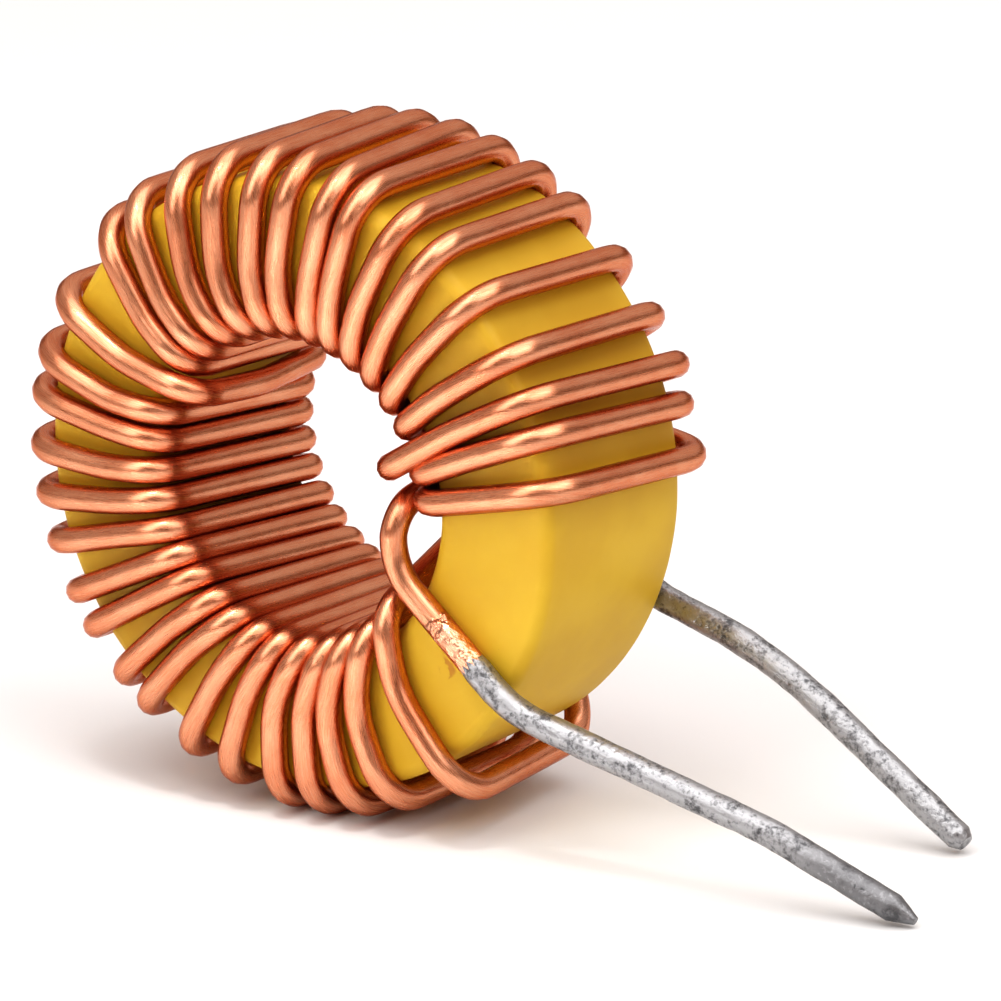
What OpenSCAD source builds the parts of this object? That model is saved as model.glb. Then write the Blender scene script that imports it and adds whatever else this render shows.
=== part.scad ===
// Toroidal inductor: one enamelled copper wire wound through a coated powder ring. Both
// ends of the wire are led out to the same side, bared and tinned. It stands on its lowest
// turns and on the two wire tips. The ring's axis is Y, its front face looks along -Y and
// the wire ends point along +X. Clock angles run from +X towards +Z. All sizes are in mm.

/* [Core] */
// Outside diameter of the coated ring
core_od = 24; // [23:0.1:28]
// Diameter of the hole through the ring
hole_d = 13.6; // [12.8:0.1:15]
// Height of the ring along its axis
core_h = 8.8; // [7:0.1:12]
// Rounding of the ring's four edges
core_edge_r = 0.55; // [0.3:0.05:0.8]

/* [Wire] */
// Diameter of the wire over its enamel
wire_d = 1; // [0.8:0.02:1.06]
// Thickness of the enamel
enamel_t = 0.04; // [0.02:0.01:0.06]
// Thickness of the tin on the bared ends
tin_t = 0.08; // [0.04:0.01:0.12]
// Bend radius of the wire's centre line round the rim
rim_bend_r = 1.5; // [1.3:0.05:2]
// Bend radius of the wire's centre line round the edges of the hole
hole_bend_r = 1.4; // [1.3:0.05:1.8]
// Air between the wire and the core where it touches down
core_gap = 0.08; // [0.06:0.01:0.12]
// Air between neighbouring passes in the hole
turn_gap = 0.01; // [0.01:0.01:0.08]

/* [Turns] */
// Clock angle of the first turn, next to the front lead
first_turn = 3.5; // [0:0.5:8]
// Clock angle of the last turn of the upper bank
upper_end = 136.5; // [120:0.5:142]
// Clock angle of the first turn of the lower bank
lower_start = 152.5; // [150:0.5:165]
// Clock angle of the last turn of the lower bank
lower_end = 296; // [270:0.5:298]
// Clock angle of the loose turn next to the rear lead
loose_turn = 318.5; // [317:0.5:325]
// How far a pass through the hole turns from its front end to its rear end
pass_slant = 7; // [4:0.5:8]
// Seat left under the turn that slipped onto its neighbours, in passes
slip_room = 1.85; // [1.6:0.05:1.9]
// How far the loose turn stands off the rim at the front
loose_gap = 1; // [0.4:0.1:1.4]

/* [Leads] */
// How far the front lead's tip reaches past the rim
front_reach = 14.6; // [13.5:0.1:18]
// How far the rear lead's tip reaches past the rim
rear_reach = 12.2; // [11:0.1:18]
// How far the front lead leans in towards the middle at its tip
front_lean = 1.2; // [0:0.1:3]
// How far the rear lead leans in towards the middle at its tip
rear_lean = 0.7; // [0:0.1:3]
// Length of the front lead's pointed tip
front_point = 0.8; // [0.4:0.1:1.2]
// Length of the rear lead's chamfered tip
rear_point = 0.35; // [0.2:0.05:0.6]
// Length of the straight, round end of each lead that a board's hole takes
pin_length = 3; // [2:0.1:3.5]

/* [Hidden] */
$fn = 96;
sides = 8;          // facets round the wire
bend_step = 31;     // most degrees that one facet of a bend turns through

// How far the outer end of each turn leans past its inner end, and how far its pass along
// the rim then turns, in degrees: hand winding, so no two turns lie alike
upper_lean = [3.5, 3.5, 1.5, 1, 3, 4, 3.5, 2, -1, -1.5, -4, -4.5, -4.5, -4, -5];
upper_turn = [-4, -4, -3.5, -2, -2, -0.5, 0.5, 0, 3, 3, 3, 3, 2.5, 1.5, 1.5];
lower_lean = [-2.5, -2, -3, -2, -3, -2.5, -2.5, -4.5, -4, -6, -4.5, -4.5, -4, -4.5, -6.5, -7];
loose_lean = -13;
loose_pass_turn = -5;
loose_pass_end = -9.5;
foot_turn = 12;      // this turn of the lower bank and the next one carry the ring

core_r = core_od / 2;
hole_r = hole_d / 2;
half_h = core_h / 2;
wire_r = wire_d / 2;
wall = core_r - hole_r;
loose_pass_r = hole_r - 2.2 * wire_d;  // where the loose turn's pass meets the rear lead
slip_rise = 0.36 * wire_d;   // the slipped turn also stands off the rim at the rear
foot_reach = 0.08 * wire_d;  // lets the foot turn reach the floor beside the next one
rim_dip = 0.08 * wire_d;     // a pass along the rim lies this much closer halfway
bare_r = wire_r - enamel_t;
tin_r = bare_r + tin_t;
tin_gap = 0.01;      // air between the bared wire and its tin, so they stay two solids
pin_step = 0.03;     // the swept tin is this much thinner where it enters the round pin

// A wide bend touches only the rounded edge and lifts the straights on both sides of it
function stand_off(bend_r) = wire_r + core_gap
    + max(0, bend_r - wire_r - core_gap - core_edge_r) * (1 - sqrt(0.5));
rim_r = core_r + stand_off(rim_bend_r) + rim_dip / 3;  // the dip makes its bends sharper
rim_y = half_h + stand_off(rim_bend_r);
pass_r = hole_r - stand_off(hole_bend_r);
pass_y = half_h + stand_off(hole_bend_r);
lead_y = half_h + core_gap + tin_r;

// Neighbouring passes that touch in the hole are this many degrees apart, and a wire on top
// of two passes, each half_step away from it, lies at this radius
touch = 2 * asin((wire_d + turn_gap) / 2 / pass_r);
function valley_r(half_step) = pass_r * cos(half_step)
    - sqrt(pow(wire_d + turn_gap, 2) - pow(pass_r * sin(half_step), 2));

function pick(list, i) = list[min(i, len(list) - 1)];
function polar(r, angle, y) = [r * cos(angle), y, r * sin(angle)];

// Turns, each [clock angle in the hole, radius in the hole, lean, turn along the rim,
// extra reach at the front of the rim, extra reach at its rear]
slip_step = slip_room * touch / 2;
upper_start = first_turn + touch + 2 * slip_step;
upper_n = floor((upper_end - upper_start) / touch);
lower_n = floor((lower_end - lower_start) / touch);
upper_step = (upper_end - upper_start) / upper_n;
lower_step = (lower_end - lower_start) / lower_n;
turns = concat(
    [[first_turn, pass_r, upper_lean[0], upper_turn[0], 0, 0],
     [first_turn + touch, pass_r, upper_lean[1], upper_turn[1], 0, 0],
     [first_turn + touch + slip_step, valley_r(slip_step), upper_lean[2], upper_turn[2],
      0, slip_rise]],
    [for (i = [0:upper_n])
        [upper_start + i * upper_step, pass_r, pick(upper_lean, i + 3), pick(upper_turn, i + 3), 0, 0]],
    [for (i = [0:lower_n]) let (reach = i == foot_turn ? foot_reach : 0)
        [lower_start + i * lower_step, pass_r, pick(lower_lean, i), 0, reach, reach]],
    [[loose_turn, pass_r, loose_lean, loose_pass_turn, loose_gap, loose_gap * 0.4]]);
last = len(turns) - 1;

// A route is a list of corners, each [point, bend radius]. One turn goes from its front
// corner in the hole out over the front face, back along the rim and in over the rear face.
// The wire is pulled in halfway along the rim, so a turn that stands on the floor does so
// on its two bends
function corner_y(r) = pass_y + (pass_r - r) * 0.2;  // a pass on top also stands off the face
function rear_hole_corner(t) = [polar(t[1], t[0] + pass_slant, corner_y(t[1])), hole_bend_r];
function turn_route(k) = let (t = turns[k], front = t[0] + t[2], rear = front + t[3])
    [[polar(t[1], t[0], -corner_y(t[1])), hole_bend_r],
     [polar(rim_r + t[4], front, -rim_y), rim_bend_r],
     [polar(rim_r + (t[4] + t[5]) / 2 - rim_dip, (front + rear) / 2, 0), 0],
     [polar(rim_r + t[5], rear, rim_y), rim_bend_r]];
coil_route = [for (k = [last:-1:0]) each concat(turn_route(k),
    k > 0 ? [rear_hole_corner(turns[k - 1])] : [])];

// The floor is under the lowest turn, and the tips of the leads lie on it
floor_z = min([for (c = coil_route) c[0].z]) - wire_r;
tip_z = floor_z + tin_r;

// Leads, from the core out: corners in clock angle and in radius past the hole or the rim.
// Past the rim a lead leans in evenly towards its tip
front_tip_x = core_r + front_reach;
rear_tip_x = core_r + rear_reach;
function lean_y(x, reach, lean) = lead_y - lean * max(0, (x - core_r) / reach);
function free_corner(r, angle, side, reach, lean) =
    polar(r, angle, side * lean_y(r * cos(angle), reach, lean));
top_pass_r = valley_r(touch / 2);
top_pass = first_turn + touch / 2;
// Share of each lead's straight across the face where its tin starts
front_tin_start = 0.93;
rear_tin_start = 0.8;
function between(p, q, share) = p + (q - p) * share;

// The last pass lies on top of the first two, so its wire comes in over the one before it
cross_rise = 1.45 * wire_d;
top_slant = pass_slant * (1 + cross_rise / (pass_y + lead_y));
front_arch_corner = polar(hole_r - hole_bend_r, -29.5, -lead_y);
front_face_corner = polar(hole_r + 0.69 * wall, -32.7, -lead_y);
front_route = [
    [polar(top_pass_r, top_pass + top_slant, pass_y + cross_rise), hole_bend_r],
    [polar(top_pass_r, top_pass, -lead_y), hole_bend_r],
    [front_arch_corner, 3.2 * wire_d],
    [between(front_arch_corner, front_face_corner, front_tin_start), 0],
    [front_face_corner, 3 * wire_d],
    [free_corner(core_r + 0.072 * front_reach, -35, -1, front_reach, front_lean), 2 * wire_d],
    [free_corner(core_r + 0.195 * front_reach, -31.5, -1, front_reach, front_lean), 6 * wire_d],
    [free_corner(core_r + 0.89 * front_reach, -25.7, -1, front_reach, front_lean), 8 * wire_d],
    [[front_tip_x, front_lean - lead_y, tip_z], 0]];
rear_pass_corner = polar(loose_pass_r, loose_pass_end, lead_y);
rear_rim_corner = polar(core_r - 0.8 * wire_d, -27.7, lead_y);
rear_route = [
    [[rear_tip_x, lead_y - rear_lean, tip_z], 0],
    [free_corner(core_r + 0.4 * rear_reach, -23.7, 1, rear_reach, rear_lean), 20 * wire_d],
    [rear_rim_corner, 4 * wire_d],
    [between(rear_pass_corner, rear_rim_corner, rear_tin_start), 0],
    [rear_pass_corner, hole_bend_r]];
route = concat(rear_route, coil_route, front_route);

function unit(v) = v / norm(v);
// The points of the bend at corner q, on the way from p to s
function bend(p, q, s, r) = r == 0 ? [q] :
    let (a = unit(p - q), b = unit(s - q), half = acos(a * b) / 2, sweep = 180 - 2 * half,
         centre = q + unit(a + b) * r / sin(half),
         out = unit(q + a * r / tan(half) - centre),
         n = max(2, ceil(sweep / bend_step)))
    [for (i = [0:n]) centre + r * (out * cos(sweep * i / n) - a * sin(sweep * i / n))];
corners = len(route);
bends = [for (i = [0:corners - 1]) bend(
    route[max(i - 1, 0)][0], route[i][0], route[min(i + 1, corners - 1)][0], route[i][1])];
path = [for (b = bends) each b];
points = len(path);
function points_before(corner) = len([for (i = [0:corner - 1]) each bends[i]]);
rear_tin = points_before(3);
front_tin = points_before(corners - 6);

// A frame on each point of the path, carried along without twist
along = [for (i = [0:points - 1]) unit(
    (i == 0 ? [0, 0, 0] : unit(path[i] - path[i - 1]))
    + (i == points - 1 ? [0, 0, 0] : unit(path[i + 1] - path[i])))];
across = [for (i = 0, u = unit(cross(along[0], [0, 1, 0])); i < points;
    i = i + 1, u = i < points ? unit(u - (u * along[i]) * along[i]) : u) u];
function ring(i, r, shift = 0) = [for (k = [0:sides - 1]) let (a = 360 * (k + 0.5) / sides)
    path[i] + along[i] * shift + r * (across[i] * cos(a) + cross(along[i], across[i]) * sin(a))];

// One closed skin over a row of rings
module skin(rings) {
    n = len(rings);
    polyhedron(
        points = [for (r = rings) each r],
        faces = concat(
            [[for (k = [0:sides - 1]) k]],
            [for (i = [0:n - 2], k = [0:sides - 1]) let (a = i * sides + k,
                b = i * sides + (k + 1) % sides) each [[a, a + sides, b + sides], [a, b + sides, b]]],
            [[for (k = [sides - 1:-1:0]) (n - 1) * sides + k]]));
}

// A tin sleeve over the path's points from its start to its tip, where forward is 1 if the
// path runs towards the tip. Its last stretch is a round pin with a tapered point
module tinning(start, tip, forward, point_h, point_r) {
    pin_axis = along[tip] * forward;
    pin_foot = -forward * (pin_length - tin_r);  // the swept part ends inside the pin
    difference() {
        union() {
            sleeve(start, tip, tin_r, forward * tin_gap, pin_foot, tin_r - pin_step);
            translate(path[tip] - pin_axis * pin_length) aim(pin_axis) rotate_extrude()
                polygon([[0, 0], [tin_r, 0], [tin_r, pin_length + tin_t],
                    [point_r, pin_length + tin_t + point_h], [0, pin_length + tin_t + point_h]]);
        }
        sleeve(start, tip, bare_r + tin_gap, -forward * wire_r, forward * tin_gap,
            bare_r + tin_gap);
    }
}

// A solid round the same stretch of the path, its two ends shifted along it
module sleeve(start, tip, r, start_shift, tip_shift, tip_r) {
    skin([for (i = [min(start, tip):max(start, tip)])
        ring(i, i == tip ? tip_r : r, i == start ? start_shift : i == tip ? tip_shift : 0)]);
}

module aim(v) {
    rotate([0, acos(v.z), atan2(v.y, v.x)]) children();
}

// The origin lies on the floor, under the middle of the whole part
winding_skin = [for (i = [rear_tin:front_tin]) each ring(i, wire_r)];
low_x = min([for (p = winding_skin) p.x]);
high_x = front_tip_x + (tin_t + front_point) * along[points - 1].x;
low_y = min([for (p = winding_skin) p.y]);
high_y = max([for (p = winding_skin) p.y]);
low_z = min([for (p = winding_skin) p.z]);
module stand() {
    translate([-(low_x + high_x) / 2, -(low_y + high_y) / 2, -low_z]) children();
}

module core() {
    color([0.88, 0.69, 0.2]) stand() rotate([90, 0, 0]) rotate_extrude()
        translate([(core_r + hole_r) / 2, 0]) {
            square([wall, core_h - 2 * core_edge_r], center = true);
            square([wall - 2 * core_edge_r, core_h], center = true);
            for (x = [-1, 1], y = [-1, 1])
                translate([x * (wall / 2 - core_edge_r), y * (half_h - core_edge_r)])
                    circle(r = core_edge_r);
        }
}

module winding() {
    color([0.85, 0.5, 0.33]) stand() skin(concat(
        [for (i = [0:rear_tin]) ring(i, bare_r)],
        [for (i = [rear_tin:front_tin]) ring(i, wire_r)],
        [for (i = [front_tin:points - 1]) ring(i, bare_r)]));
}

module front_tinning() {
    color([0.72, 0.72, 0.7]) stand() tinning(front_tin, points - 1, 1, front_point, 0.15);
}

module rear_tinning() {
    color([0.72, 0.72, 0.7]) stand() tinning(rear_tin, 0, -1, rear_point, 0.3);
}

core();
winding();
front_tinning();
rear_tinning();
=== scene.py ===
import math
import bpy
import numpy as np
from mathutils import Matrix, Vector, kdtree


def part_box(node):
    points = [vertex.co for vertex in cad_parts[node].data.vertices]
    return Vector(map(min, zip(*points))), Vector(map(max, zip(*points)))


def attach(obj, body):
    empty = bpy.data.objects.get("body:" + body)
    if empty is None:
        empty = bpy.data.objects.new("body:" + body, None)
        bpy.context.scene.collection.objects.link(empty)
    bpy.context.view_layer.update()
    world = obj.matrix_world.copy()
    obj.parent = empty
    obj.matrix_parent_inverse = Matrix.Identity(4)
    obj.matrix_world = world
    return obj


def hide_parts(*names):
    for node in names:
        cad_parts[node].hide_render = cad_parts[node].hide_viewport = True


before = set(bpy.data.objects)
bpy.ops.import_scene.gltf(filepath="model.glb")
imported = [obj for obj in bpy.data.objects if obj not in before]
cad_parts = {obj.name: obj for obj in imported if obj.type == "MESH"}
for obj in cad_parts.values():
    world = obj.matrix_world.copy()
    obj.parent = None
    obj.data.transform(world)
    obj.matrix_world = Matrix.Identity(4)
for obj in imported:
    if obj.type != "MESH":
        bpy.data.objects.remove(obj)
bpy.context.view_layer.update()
coreLow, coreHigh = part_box("core")
ringCentre = (coreLow + coreHigh) / 2
mm = 0.001
print("frame loaded, ring centre at", [round(v / mm, 2) for v in ringCentre], "mm")


# Routes are in mm round the ring's centre. Clock angles run from +X towards +Z, and the
# front face looks along -Y.
ring = {
    "radius": round((coreHigh.x - coreLow.x) / 2 / mm, 2),
    "halfHeight": round((coreHigh.y - coreLow.y) / 2 / mm, 2),
    "hole": 6.8,          # radius
    "edge": 0.55,         # rounding of the four edges
}
wire = {
    "radius": 0.53,       # over the enamel
    "air": 0.02,          # between wire and coat where they touch
    "turnAir": 0.01,      # between two turns where they touch
    "bend": 1.32,         # radius of the centre line round the edges of the hole
    "rimBend": 1.8,       # and round the rim
    "bendStep": 4.0,      # most degrees between two points of a bend
    "passRadius": 6.141,  # where the spacing of the passes in the hole is taken
    "evening": 0.28,      # reach along the wire over which its curvature evens out
    "spacing": 0.05,      # between the points of the finished route
    "sides": 12,
}


def standOff(bendRadius):   # a wide bend lifts the straights on both sides of the ring's edge
    loose = max(0, bendRadius - wire["radius"] - wire["air"] - ring["edge"])
    return wire["radius"] + wire["air"] + loose * (1 - math.sqrt(0.5))


def polar(radius, angle, y):
    a = math.radians(angle)
    return np.array([radius * math.cos(a), y, radius * math.sin(a)])


def between(p, q, share):
    return p + (q - p) * share


def unit(v):
    return v / np.linalg.norm(v)


wireGap = 2 * wire["radius"] + wire["turnAir"]
touch = math.degrees(2 * math.asin(wireGap / 2 / wire["passRadius"]))
holeR = ring["hole"] - standOff(wire["bend"])
rimR = ring["radius"] + standOff(wire["rimBend"])
faceY = ring["halfHeight"] + standOff(wire["bend"])


def valleyRadius(halfStep):   # of a wire that lies in the valley between two passes
    a = math.radians(halfStep)
    return holeR * math.cos(a) - math.sqrt(wireGap ** 2 - (holeR * math.sin(a)) ** 2)


turns = {
    "midRadius": 8.7,      # where the wire's sweep over the front face is set
    "midBend": 4.5,
    "faceRise": 0.2,       # a pass on top of others also stands off the face, by this share
    # the third turn slipped onto its neighbours
    "slipped": 2,
    "slippedRadius": 4.87,
    "slippedRise": 0.36,   # off the rim at the rear
    # the first turn of the lower bank bridges the step between the banks
    "bridge": 15,
    "bridgeRadius": 5.1,
    "bridgeTurn": 7.5,
    "bridgeY": -0.6,
    "bridgeBend": 5,
    # the last turn stands loose off the rim
    "looseReach": 0.78,
    "looseRearShare": 0.4,
    # upper bank, then lower bank from the 16th: clock angle at the hole, halfway out and at
    # the rim in front, then how far the pass along the rim and the one in the hole turn
    "rows": [
        (2.5, 5, 7, -4, 7), (12, 15, 16.5, -4, 7), (15.4, 22, 23, -3.5, 11.6), (28, 31, 31, -2, 7),
        (37.5, 42, 42.5, -2, 7), (47.5, 52.5, 53.5, -0.5, 7), (57.5, 62, 61.5, 0.5, 7),
        (67, 71, 71, 0, 7), (76.5, 78, 76.5, 3, 7), (86, 88.5, 85, 3, 7), (95.5, 97, 92.5, 3, 7),
        (105, 108, 102, 3, 7), (115, 118, 111.5, 2.5, 7), (126.5, 128.3, 123.1, 1.5, 7),
        (136.5, 136.5, 131.5, 1.5, 7),
        (140, 150.5, 149.5, 0, 16.5), (158.5, 162.5, 161, 0, 10), (169.5, 170, 169, 0, 9.5),
        (180.5, 181, 179, 0, 9), (191, 190, 188, 0, 8.5), (202, 199, 197, 0, 8),
        (211.5, 209, 207, 0, 8.5), (221, 217, 214, 0, 9), (231.5, 226.5, 224.5, 0, 8),
        (242, 234.5, 231.5, 0, 7), (252.5, 245.5, 243, 0, 6), (262.5, 255, 253, 0, 5.5),
        (274, 263.5, 265, 0, 4.5), (284.5, 273, 272.5, 0, 4), (294, 280, 281, 0, 4),
        (305, 289.5, 290, 0, 3.5), (317, 304.5, 305.5, -5, 7),
    ],
}


def passRadius(k):
    onTop = {turns["slipped"]: turns["slippedRadius"], turns["bridge"]: turns["bridgeRadius"]}
    return onTop.get(k, holeR)


def passY(k):
    return faceY + (holeR - passRadius(k)) * turns["faceRise"]


def coilCorners():
    # from the loose turn beside the rear lead to the first turn beside the front lead
    corners = []
    rows = turns["rows"]
    last = len(rows) - 1
    for k in range(last, -1, -1):
        hole, middle, rim, rimTurn, _ = rows[k]
        reach = turns["looseReach"] if k == last else 0
        rise = turns["slippedRise"] if k == turns["slipped"] else reach * turns["looseRearShare"]
        corners += [(polar(passRadius(k), hole, -passY(k)), wire["bend"]),
                    (polar(turns["midRadius"], middle, -faceY), turns["midBend"]),
                    (polar(rimR + reach, rim, -faceY), wire["rimBend"]),
                    (polar(rimR + rise, rim + rimTurn, faceY), wire["rimBend"])]
        if k == 0:
            continue
        nextHole, holeTurn = rows[k - 1][0], rows[k - 1][4]
        if k - 1 == turns["bridge"]:
            corners += [(polar(holeR, nextHole + holeTurn, faceY), wire["bend"]),
                        (polar(turns["bridgeRadius"], nextHole + turns["bridgeTurn"], turns["bridgeY"]),
                         turns["bridgeBend"])]
        else:
            corners.append((polar(passRadius(k - 1), nextHole + holeTurn, passY(k - 1)), wire["bend"]))
    return corners


leadY = 5.0
frontLead = {
    "side": -1,
    "reach": 14.6,        # past the rim
    "lean": 1.2,          # towards the middle at the tip
    "tinStart": 0.695,    # share of the straight across the face that isn't tinned
    "point": 0.88,        # the tip goes on this far
}
rearLead = {
    "side": 1,
    "reach": 12.2,
    "lean": 0.7,
    "tinStart": 0.8,
    "point": 0.3,
}
lastPass = {              # lies on top of the first two and comes in over the one before it
    "angle": 7.3,
    "rise": 1.42,         # off the rear face
    "slant": 7.0,         # degrees that it turns between the two faces
    "settle": 0.11,       # nearer the wall of the hole at the front,
    "leanBack": 6.9,      # and turned back towards the arch of the lead
}
tipRadius = 0.54          # the tips lie on the floor
tipZ = tipRadius - ringCentre.z / mm


def freeCorner(lead, radius, angle):   # past the rim a lead leans in evenly towards its tip
    p = polar(radius, angle, 0)
    p[1] = lead["side"] * (leadY - lead["lean"] * max(0, (p[0] - ring["radius"]) / lead["reach"]))
    return p


def leadTip(lead, knee):
    tip = np.array([ring["radius"] + lead["reach"], lead["side"] * (leadY - lead["lean"]), tipZ])
    return tip + unit(tip - knee) * lead["point"]


rearPass = polar(4.6, -9.5, leadY)
rearRim = polar(ring["radius"] - 0.8, -27.7, leadY)
rearKnee = freeCorner(rearLead, ring["radius"] + 4.85, -23.7)
frontArch = polar(ring["hole"] - 1.28, -24.5, -leadY)
frontBend = freeCorner(frontLead, ring["radius"] + 0.58, -34.7)
frontKnee = freeCorner(frontLead, ring["radius"] + 11.7, -25.94)


def wireRoute():   # corners, each with its bend radius, from the rear tip to the front tip
    topRadius = valleyRadius(touch / 2)
    topSlant = lastPass["slant"] * (1 + lastPass["rise"] / (faceY + leadY))
    overLast = polar(topRadius, lastPass["angle"] + topSlant, faceY + lastPass["rise"])
    inFront = polar(topRadius + lastPass["settle"], lastPass["angle"] - lastPass["leanBack"], -leadY)
    return [(leadTip(rearLead, rearKnee), 0), (rearKnee, 20), (rearRim, 4), (rearPass, wire["bend"]),
            *coilCorners(),
            (overLast, wire["bend"]), (inFront, wire["bend"]), (frontArch, 2.5), (frontBend, 5),
            (frontKnee, 8), (leadTip(frontLead, frontKnee), 0)]


def bent(corners):   # each corner becomes an arc of its bend radius
    points = [corners[0][0]]
    for (p, _), (q, radius), (s, _) in zip(corners, corners[1:], corners[2:]):
        a, b = unit(p - q), unit(s - q)
        half = math.acos(np.clip(a @ b, -1, 1)) / 2
        sweep = math.pi - 2 * half
        centre = q + unit(a + b) * radius / math.sin(half)
        out = unit(q + a * radius / math.tan(half) - centre)
        n = max(2, math.ceil(math.degrees(sweep) / wire["bendStep"]))
        for i in range(n + 1):
            t = sweep * i / n
            points.append(centre + radius * (out * math.cos(t) - a * math.sin(t)))
    points.append(corners[-1][0])
    return np.array(points)


def lengths(points):
    return np.r_[0, np.cumsum(np.linalg.norm(np.diff(points, axis=0), axis=1))]


def resampled(points, spacing):
    d = lengths(points)
    s = np.linspace(0, d[-1], int(d[-1] / spacing) + 1)
    return np.stack([np.interp(s, d, points[:, i]) for i in range(3)], 1)


def relaxed(points):   # evens out the curvature, as springy wire does
    spacing, evening = wire["spacing"], wire["evening"]
    p = resampled(points, spacing)
    n = int(3 * evening / spacing)
    kernel = np.exp(-0.5 * (np.arange(-n, n + 1) * spacing / evening) ** 2)
    kernel /= kernel.sum()
    before = p[0] + (p[0] - p[1]) * np.arange(n, 0, -1)[:, None]
    after = p[-1] + (p[-1] - p[-2]) * np.arange(1, n + 1)[:, None]
    padded = np.vstack([before, p, after])
    return np.stack([np.convolve(padded[:, i], kernel, "valid") for i in range(3)], 1)


def thinned(points, turn, longest):   # fewer points where the line is straight
    direction = np.diff(points, axis=0)
    direction /= np.linalg.norm(direction, axis=1)[:, None]
    keep, last = [0], 0
    for i in range(1, len(points) - 1):
        angle = math.degrees(math.acos(np.clip(direction[last] @ direction[i], -1, 1)))
        if angle > turn or np.linalg.norm(points[i] - points[last]) > longest:
            keep.append(i)
            last = i
    return points[keep + [len(points) - 1]]


wirePath = relaxed(bent(wireRoute()))
wireRun = lengths(wirePath)


def nearestRun(point):
    return wireRun[np.argmin(np.linalg.norm(wirePath - point, axis=1))]


frontTinRun = nearestRun(between(frontArch, frontBend, frontLead["tinStart"]))
rearTinRun = nearestRun(between(rearPass, rearRim, rearLead["tinStart"]))
print("wire is", round(wireRun[-1]), "mm long in", len(turns["rows"]), "turns")


def selectOnly(obj):
    bpy.ops.object.select_all(action="DESELECT")
    obj.select_set(True)
    bpy.context.view_layer.objects.active = obj


def linkIn(name, data):
    obj = bpy.data.objects.new(name, data)
    bpy.context.scene.collection.objects.link(obj)
    return obj


def closeMesh():   # merges the seams, points the faces outwards and leaves edit mode
    bpy.ops.mesh.select_all(action="SELECT")
    bpy.ops.mesh.remove_doubles(threshold=1e-6)
    bpy.ops.mesh.normals_make_consistent(inside=False)
    bpy.ops.object.mode_set(mode="OBJECT")


def roughen(obj, name, size, depth):   # pushes the surface in and out along its normals
    clouds = bpy.data.textures.new(name, "CLOUDS")
    clouds.noise_scale = size * mm
    clouds.noise_depth = 1
    modifier = obj.modifiers.new(name, "DISPLACE")
    modifier.texture = clouds
    modifier.texture_coords = "LOCAL"
    modifier.mid_level = 0.5
    modifier.strength = depth * mm
    selectOnly(obj)
    bpy.ops.object.modifier_apply(modifier=name)


def tubeAlong(name, points, radii, sides):
    curve = bpy.data.curves.new(name, "CURVE")
    curve.dimensions = "3D"
    curve.bevel_depth = mm
    curve.bevel_resolution = sides // 2 - 2
    curve.use_fill_caps = True
    spline = curve.splines.new("POLY")
    spline.points.add(len(points) - 1)
    places = np.ones((len(points), 4))
    places[:, :3] = points * mm + np.array(ringCentre)
    spline.points.foreach_set("co", places.ravel())
    spline.points.foreach_set("radius", radii)
    selectOnly(linkIn(name, curve))
    bpy.ops.object.convert(target="MESH")
    tube = bpy.context.view_layer.objects.active
    bpy.ops.object.mode_set(mode="EDIT")
    closeMesh()
    bpy.ops.object.shade_smooth_by_angle(angle=math.radians(50))
    return tube


def markAlong(tube, points):
    # "drawn" is (length along the wire in mm, cosine, sine) at each vertex, for patterns
    # that follow the wire
    run = lengths(points)
    direction = np.gradient(points, axis=0)
    tree = kdtree.KDTree(len(points))
    for i, p in enumerate(points):
        tree.insert(p, i)
    tree.balance()
    zero = np.array([0.31, 0.52, 0.79])   # angles round the wire are counted from this side
    centre = np.array(ringCentre)
    drawn = []
    for v in tube.data.vertices:
        p = (np.array(v.co) - centre) / mm
        _, i, _ = tree.find(p)
        t = unit(direction[i])
        a = unit(zero - (zero @ t) * t)
        b = np.cross(t, a)
        off = p - points[i]
        angle = math.atan2(off @ b, off @ a)
        drawn += [run[i] + off @ t, math.cos(angle), math.sin(angle)]
    tube.data.attributes.new("drawn", "FLOAT_VECTOR", "POINT").data.foreach_set("vector", drawn)


winding = {
    "turn": 6.0,           # a new ring of faces comes after this many degrees of bend,
    "longest": 0.7,        # or this many mm
    "underTin": 1.6,       # the wire goes on this far under the tin,
    "taper": (0.6, 1.2),   # thins down between these two lengths before its end,
    "endRadius": 0.44,     # to this
}


def makeWinding():
    under = winding["underTin"]
    inside = (wireRun > rearTinRun - under) & (wireRun < frontTinRun + under)
    path = thinned(wirePath[inside], winding["turn"], winding["longest"])
    run = lengths(path)
    taperStart, taperEnd = winding["taper"]
    full = np.clip((np.minimum(run, run[-1] - run) - taperStart) / (taperEnd - taperStart), 0, 1)
    radii = winding["endRadius"] + (wire["radius"] - winding["endRadius"]) * full
    tube = tubeAlong("copperWire", path, radii, wire["sides"])
    markAlong(tube, path)
    return tube


copperWire = makeWinding()
print("wire tube has", len(copperWire.data.polygons), "faces")


tin = {
    "radius": 0.548,
    "spacing": 0.12,
    "sides": 14,
    "overlap": 0.5,        # past the place where the tin starts
    "waves": ((0.008, 1.3, 0), (0.005, 3.1, 1)),   # height, then pace and start along the lead
    "startThin": 0.07,     # the tin runs out thinly,
    "startLength": 0.7,    # over this length
    "lumpSize": 0.7,
    "lumpDepth": 0.045,
    "frontPoint": (1.0, 0.28),   # length of the worn tip, and its width as a share
    "rearPoint": (0.35, 0.62),
}


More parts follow.
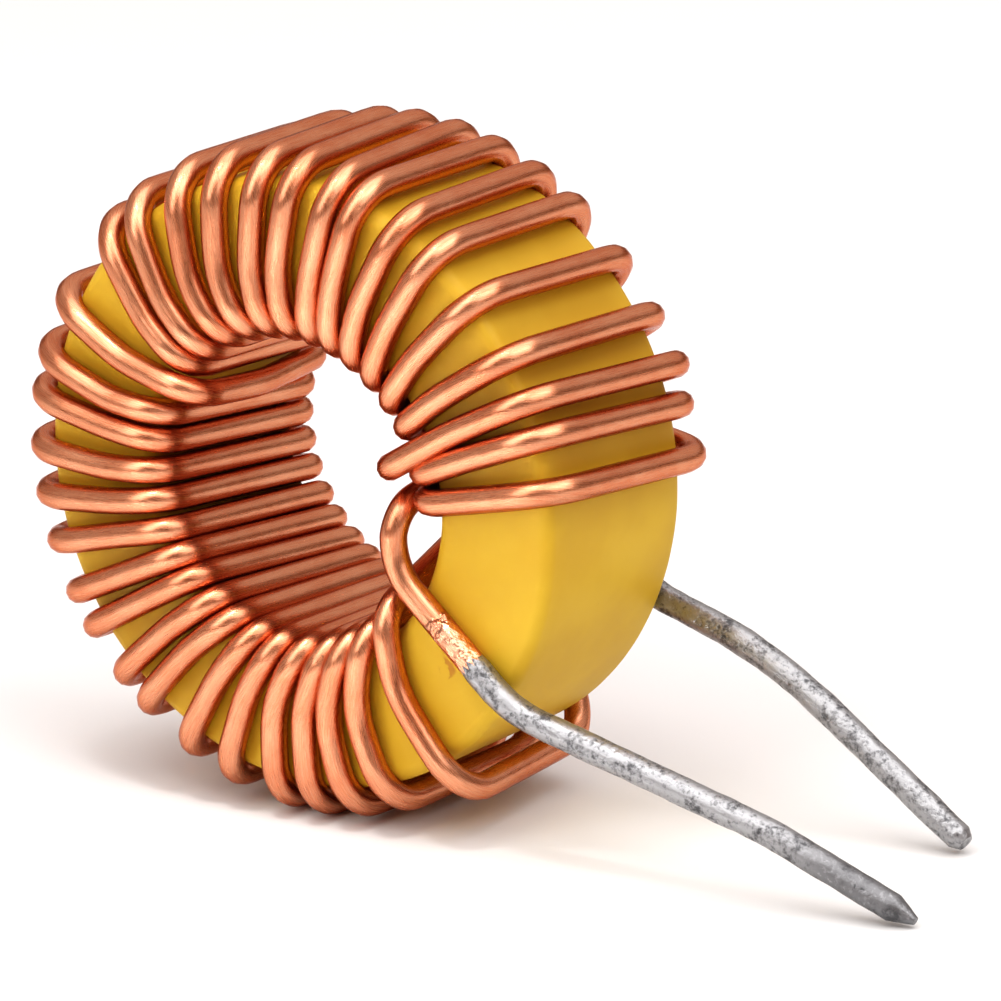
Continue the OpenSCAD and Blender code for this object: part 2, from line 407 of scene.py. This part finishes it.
def makeTin(name, inside, point):   # from where the tin starts to the tip of the lead
    path = resampled(wirePath[inside], tin["spacing"])
    if inside[0]:
        path = path[::-1]
    run = lengths(path)
    radii = tin["radius"] + sum(height * np.sin(run * pace + start) for height, pace, start in tin["waves"])
    radii -= tin["startThin"] * np.clip(1 - run / tin["startLength"], 0, 1)
    pointLength, pointShare = point
    radii *= pointShare + (1 - pointShare) * np.clip((run[-1] - run) / pointLength, 0, 1)
    tube = tubeAlong(name, path, radii, tin["sides"])
    roughen(tube, name + "Lumps", tin["lumpSize"], tin["lumpDepth"])
    return tube


frontTin = makeTin("frontTin", wireRun >= frontTinRun - tin["overlap"], tin["frontPoint"])
rearTin = makeTin("rearTin", wireRun <= rearTinRun + tin["overlap"], tin["rearPoint"])
print("tinned ends have", len(frontTin.data.polygons) + len(rearTin.data.polygons), "faces")


core = {
    "around": 256,
    "edgeSteps": 6,
    "faceSteps": 9,
    "waveSize": 2.2,       # the coat is sprayed on and slightly wavy
    "waveDepth": 0.05,
}


def makeCore():   # one half of the ring's section, spun round its axis
    inner, outer, edge = ring["hole"] * mm, ring["radius"] * mm, ring["edge"] * mm
    bpy.ops.object.select_all(action="DESELECT")
    middle = ringCentre + Vector(((inner + outer) / 2, 0, 0))
    bpy.ops.mesh.primitive_plane_add(size=1, calc_uvs=False, location=middle)
    body = bpy.context.object
    body.name = body.data.name = "powderCore"
    body.scale = (outer - inner, 2 * ring["halfHeight"] * mm, 1)
    bpy.ops.object.transform_apply()
    bpy.ops.object.mode_set(mode="EDIT")
    bpy.ops.mesh.select_all(action="SELECT")
    bpy.ops.mesh.bevel(offset=edge, segments=core["edgeSteps"], profile=0.5, affect="VERTICES")
    bpy.ops.mesh.delete(type="ONLY_FACE")
    bpy.ops.mesh.select_mode(type="EDGE")
    bpy.ops.object.mode_set(mode="OBJECT")
    points = body.data.vertices
    for side in body.data.edges:
        start, end = (points[i].co for i in side.vertices)
        side.select = (end - start).length > 2 * edge
    bpy.ops.object.mode_set(mode="EDIT")
    bpy.ops.mesh.subdivide(number_cuts=core["faceSteps"] - 1)
    bpy.ops.mesh.select_all(action="SELECT")
    bpy.ops.mesh.spin(steps=core["around"], angle=2 * math.pi, center=ringCentre, axis=(0, 1, 0))
    closeMesh()
    roughen(body, "coatWaves", core["waveSize"], core["waveDepth"])
    bpy.ops.object.shade_smooth_by_angle(angle=math.radians(40))
    return body


powderCore = makeCore()
print("core has", len(powderCore.data.polygons), "faces")


class Value:
    def __init__(self, paint, socket):
        self.paint = paint
        self.socket = socket

    def calc(self, operation, *numbers):
        return self.paint.node("Math", {"operation": operation}, dict(enumerate(numbers)))

    def __add__(self, other):
        return self.calc("ADD", self, other)

    def __radd__(self, other):
        return self.calc("ADD", other, self)

    def __sub__(self, other):
        return self.calc("SUBTRACT", self, other)

    def __rsub__(self, other):
        return self.calc("SUBTRACT", other, self)

    def __mul__(self, other):
        return self.calc("MULTIPLY", self, other)

    def __rmul__(self, other):
        return self.calc("MULTIPLY", other, self)


class Paint:
    def __init__(self, name):
        self.material = bpy.data.materials.new(name)
        self.material.use_nodes = True
        self.tree = self.material.node_tree
        self.tree.nodes.clear()

    def node(self, kind, settings, inputs, output=0):
        node = self.tree.nodes.new("ShaderNode" + kind)
        for name, value in settings.items():
            setattr(node, name, value)
        for name, value in inputs.items():
            socket = node.inputs[name]
            if isinstance(value, Value):
                self.tree.links.new(value.socket, socket)
            elif socket.type == "RGBA":
                socket.default_value = (*value, 1)
            else:
                socket.default_value = value
        return Value(self, node.outputs[output])

    def place(self):
        return self.node("TexCoord", {}, {}, "Object")

    def scaled(self, vector, scale):
        return self.node("VectorMath", {"operation": "MULTIPLY"}, {0: vector, 1: scale})

    def noise(self, where, scale, detail=3.0, roughness=0.5):
        return self.node("TexNoise", {}, {"Vector": where, "Scale": scale,
                                          "Detail": detail, "Roughness": roughness})

    def ramp(self, value, low, high):   # 0 at low, 1 at high and smooth between
        return self.node("MapRange", {"interpolation_type": "SMOOTHSTEP"},
                         {"Value": value, "From Min": low, "From Max": high})

    def mix(self, share, first, second):   # of two colours
        return self.node("Mix", {"data_type": "RGBA"}, {0: share, 6: first, 7: second}, 2)

    def bump(self, height, strength, distance, below=None):
        inputs = {"Height": height, "Strength": strength, "Distance": distance}
        if below:
            inputs["Normal"] = below
        return self.node("Bump", {}, inputs)

    def finish(self, inputs):
        shader = self.node("BsdfPrincipled", {}, inputs)
        surface = self.tree.nodes.new("ShaderNodeOutputMaterial").inputs["Surface"]
        self.tree.links.new(shader.socket, surface)
        return self.material


enamel = {
    "dark": (0.64, 0.21, 0.095),
    "light": (0.75, 0.34, 0.19),
    "bare": (0.93, 0.47, 0.3),
    "tint": (0.7, 0.3, 0.2),
    "clear": 0.5,         # share of clear lacquer over the copper
    "clearRoughness": 0.14,
    "scraped": 2.1,       # mm of bare rough copper before the tin of the front lead
}


def enamelledCopper():
    paint = Paint("enamelledCopper")
    drawn = paint.node("Attribute", {"attribute_name": "drawn"}, {}, "Vector")
    place = paint.place()
    grain = paint.noise(paint.scaled(drawn, (0.35, 3.2, 3.2)), 3.0, 5, 0.6)   # lines along the wire
    fine = paint.noise(paint.scaled(drawn, (0.6, 9, 9)), 3.0, 3)
    cloud = paint.noise(place, 420.0, 2)
    torn = paint.noise(place, 1500.0, 3)
    along = paint.node("SeparateXYZ", {}, {0: drawn}, "X")
    scrapedFrom = frontTinRun - (rearTinRun - winding["underTin"]) - enamel["scraped"]
    bare = paint.ramp(along + torn * 1.6, scrapedFrom + 0.5, scrapedFrom + 0.9)
    tone = paint.ramp(grain * 0.45 + cloud * 0.35 + fine * 0.2, 0.34, 0.64)
    colour = paint.mix(bare, paint.mix(tone, enamel["dark"], enamel["light"]), enamel["bare"])
    scratches = paint.bump(grain * 0.5 + fine * 0.5, 0.5, 0.00002)
    pecked = paint.bump(torn * bare, 1.0, 0.0003, scratches)
    return paint.finish({"Base Color": colour, "Metallic": 1.0, "Roughness": 0.21 + 0.14 * fine,
                         "Specular Tint": enamel["tint"], "Normal": pecked,
                         "Coat Weight": enamel["clear"] - enamel["clear"] * bare,
                         "Coat Roughness": enamel["clearRoughness"], "Coat IOR": 1.5})


coat = {
    "deep": (0.60, 0.37, 0.026),
    "pale": (0.66, 0.43, 0.036),
    "speck": (0.36, 0.19, 0.03),
    "burnt": (0.42, 0.16, 0.02),
    "flake": (7.05, -4.4, -6.15),   # burnt lacquer on the ring beside the front lead, in mm
}


def yellowCoat():
    paint = Paint("yellowCoat")
    place = paint.place()
    cloud = paint.noise(place, 240.0, 3)
    fine = paint.noise(place, 5200.0, 3)
    torn = paint.noise(place, 1600.0, 3)
    flake = ringCentre + Vector(coat["flake"]) * mm
    far = paint.node("VectorMath", {"operation": "DISTANCE"}, {0: place, 1: flake}, "Value")
    burnt = paint.ramp(far + torn * 0.0009, 0.00095, 0.00075) * paint.ramp(torn, 0.42, 0.5)
    colour = paint.mix(paint.ramp(cloud, 0.35, 0.7), coat["deep"], coat["pale"])
    colour = paint.mix(paint.ramp(fine, 0.76, 0.82) * 0.7, colour, coat["speck"])
    colour = paint.mix(burnt * 0.75, colour, coat["burnt"])
    peel = paint.bump(cloud * 0.5 + fine * 0.12 + burnt * 0.3, 0.3, 0.00008)
    return paint.finish({"Base Color": colour, "Roughness": 0.42 + 0.12 * cloud, "Normal": peel,
                         "IOR": 1.5, "Specular IOR Level": 0.2})


solder = {
    "dark": (0.1, 0.1, 0.105),
    "bright": (0.38, 0.38, 0.39),
    "wornX": (0.0145, 0.0175),   # the end of the front lead is duller past these places
    "wornY": (-0.001, -0.002),
}


def mottledSolder():
    paint = Paint("solder")
    place = paint.place()
    patches = paint.noise(place, 1100.0, 4, 0.6)
    grains = paint.noise(place, 5200.0, 3, 0.65)
    placeX = paint.node("SeparateXYZ", {}, {0: place}, "X")
    placeY = paint.node("SeparateXYZ", {}, {0: place}, "Y")
    worn = paint.ramp(placeX, *solder["wornX"]) * paint.ramp(placeY, *solder["wornY"])
    bright = paint.ramp(patches * 0.5 + grains * 0.5, 0.36, 0.54)
    bright = bright * (1 - 0.6 * worn * paint.ramp(grains, 0.35, 0.5))
    colour = paint.mix(bright, solder["dark"], solder["bright"])
    pits = paint.bump(patches * 0.4 + grains * 0.6, 0.7, 0.00008)
    return paint.finish({"Base Color": colour, "Metallic": 0.85, "Roughness": 0.48 - 0.16 * bright,
                         "Normal": pits})


def giveMaterial(obj, material):
    obj.data.materials.clear()
    obj.data.materials.append(material)


tinFinish = mottledSolder()
for piece, material, node, slot in ((copperWire, enamelledCopper(), "winding", "copper_wire"),
                                    (powderCore, yellowCoat(), "core", "core_coat"),
                                    (frontTin, tinFinish, "front_tinning", "tin"),
                                    (rearTin, tinFinish, "rear_tinning", "tin")):
    giveMaterial(piece, material)
    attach(piece, "root")
    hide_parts(node)
print("all four pieces have their finish")


studio = {
    "floor": (0.8, 0.8, 0.8),
    "floorDrop": 0.1,            # mm below the solids, because the wire is thicker here
    "room": (1, 0.76, 0.66, 1),
    "roomStrength": 0.25,
    # azimuth and elevation in degrees, then distance, width and height in m, and power in W
    "softboxes": {
        "keyLight": (-12, 38, 0.5, 0.28, 0.44, 0.98),
        "sideLight": (78, 40, 0.5, 0.4, 0.4, 0.82),
        "topLight": (60, 76, 0.5, 0.6, 0.6, 2.0),
        "leftLight": (-75, 20, 0.6, 0.8, 0.8, 0.5),
        "backLight": (190, 50, 0.6, 1.2, 0.9, 1.4),
    },
}
floorStrip = {   # lights a strip of the floor in front, which the upright parts of the turns mirror
    "azimuth": -4,
    "near": 0.025,
    "far": 0.1,
    "width": 0.02,
    "height": 0.1,
    "spread": 40,
    "power": 0.025,
}


def makeFloor():
    bpy.ops.object.select_all(action="DESELECT")
    bpy.ops.mesh.primitive_plane_add(size=4, location=(0, 0, -studio["floorDrop"] * mm))
    floor = bpy.context.object
    floor.name = "floor"
    giveMaterial(floor, Paint("paleFloor").finish({"Base Color": studio["floor"], "Roughness": 0.9}))


def areaLight(name, width, height, power):
    data = bpy.data.lights.new(name, "AREA")
    data.shape = "RECTANGLE"
    data.size = width
    data.size_y = height
    data.energy = power
    return linkIn(name, data)


def makeFloorStrip():
    near, far = floorStrip["near"], floorStrip["far"]
    light = areaLight("floorStrip", floorStrip["width"], far - near, floorStrip["power"])
    light.data.spread = math.radians(floorStrip["spread"])
    a, reach = math.radians(floorStrip["azimuth"]), (near + far) / 2
    light.location = (ringCentre.x + reach * math.sin(a), ringCentre.y - reach * math.cos(a),
                      floorStrip["height"])
    light.rotation_euler = (0, 0, a)


def makeSoftbox(name, azimuth, elevation, distance, width, height, power):
    light = areaLight(name, width, height, power)
    a, e = math.radians(azimuth), math.radians(elevation)
    back = Vector((math.sin(a) * math.cos(e), -math.cos(a) * math.cos(e), math.sin(e)))
    light.location = ringCentre + back * distance
    light.rotation_mode = "QUATERNION"
    light.rotation_quaternion = back.to_track_quat("Z", "Y")


def makeRoom():
    world = bpy.data.worlds.new("softRoom")
    world.use_nodes = True
    background = world.node_tree.nodes["Background"]
    background.inputs["Color"].default_value = studio["room"]
    background.inputs["Strength"].default_value = studio["roomStrength"]
    bpy.context.scene.world = world


camera = {
    "place": (160.134, -205.694, 70.367),     # mm from the ring's centre
    "right": (0.807167, 0.589, -0.039471),
    "up": (-0.126767, 0.23825, 0.962891),
    "back": (0.576546, -0.77222, 0.266968),
    "lens": 251.75,
}


def makeCamera():
    data = bpy.data.cameras.new("camera")
    data.lens = camera["lens"]
    data.sensor_width = 36
    data.clip_start = 0.01
    data.clip_end = 10
    eye = linkIn("camera", data)
    turn = Matrix((camera["right"], camera["up"], camera["back"])).transposed()
    eye.matrix_world = Matrix.Translation(ringCentre + Vector(camera["place"]) * mm) @ turn.to_4x4()
    bpy.context.scene.camera = eye
    bpy.context.scene.view_settings.view_transform = "Standard"
    bpy.context.scene.view_settings.look = "Medium High Contrast"


makeFloor()
makeFloorStrip()
for name, values in studio["softboxes"].items():
    makeSoftbox(name, *values)
makeRoom()
makeCamera()
print("floor, lights and camera are in place")
